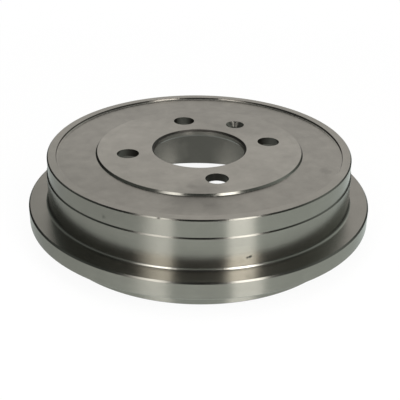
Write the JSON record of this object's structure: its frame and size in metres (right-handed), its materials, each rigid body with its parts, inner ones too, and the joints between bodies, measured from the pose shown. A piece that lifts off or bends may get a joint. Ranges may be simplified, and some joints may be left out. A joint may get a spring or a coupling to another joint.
{
  "type": "brake drum",
  "caption": "Turned cast-iron brake drum: flat wheel face with stud holes and centre bore, stepped wall, raised flange above an open mouth for the brake shoes.",
  "frame": {"origin": "centre of the open mouth's face, which the drum stands on", "axes": "+Z along the wheel axis, from the open mouth to the wheel face; +X through the first stud hole; the retaining screw's hole is 45 degrees on from it, towards +Y"},
  "size_m": [0.2382, 0.2382, 0.0587],
  "materials": {
    "turned_iron": "fine-turned grey iron, unpainted, with faint circular tool marks"
  },
  "bodies": {
    "root": {"brake_drum": "turned_iron"}
  },
  "joints": []
}
